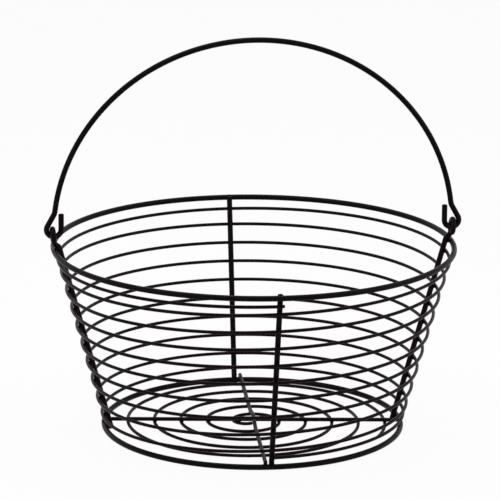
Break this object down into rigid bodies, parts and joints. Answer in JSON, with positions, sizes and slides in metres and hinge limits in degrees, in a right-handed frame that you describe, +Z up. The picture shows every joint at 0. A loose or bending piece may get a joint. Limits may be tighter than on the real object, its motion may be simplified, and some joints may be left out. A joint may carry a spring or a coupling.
{
  "type": "wire egg basket",
  "caption": "Round open wire egg basket with a tapered wall wound from one wire, a coiled wire floor and a hooped wire bail that swings in two eyes.",
  "frame": {"origin": "middle of the foot ring, on the surface that the basket stands on", "axes": "+Z up through the mouth, X through the two eyes along the bail's swing axis, -Y towards the upright where the wall's wire starts and ends"},
  "size_m": [0.3986, 0.3848, 0.3786],
  "materials": {
    "coated_wire": "satin black dip coating over steel wire"
  },
  "bodies": {
    "basket": {"top_rim": "coated_wire", "bottom_ring": "coated_wire", "front_upright": "coated_wire", "back_upright": "coated_wire", "right_upright": "coated_wire", "left_upright": "coated_wire", "wall_winding": "coated_wire", "floor_spiral": "coated_wire", "floor_wire_across": "coated_wire", "floor_wire_along": "coated_wire"},
    "bail": {"bail": "coated_wire"}
  },
  "joints": [
    {"name": "bail_swing", "type": "hinge", "parent": "basket", "child": "bail", "pos_m": [0, 0, 0.19095], "axis": [1, 0, 0], "range_deg": [-92.2, 92.2]}
  ]
}
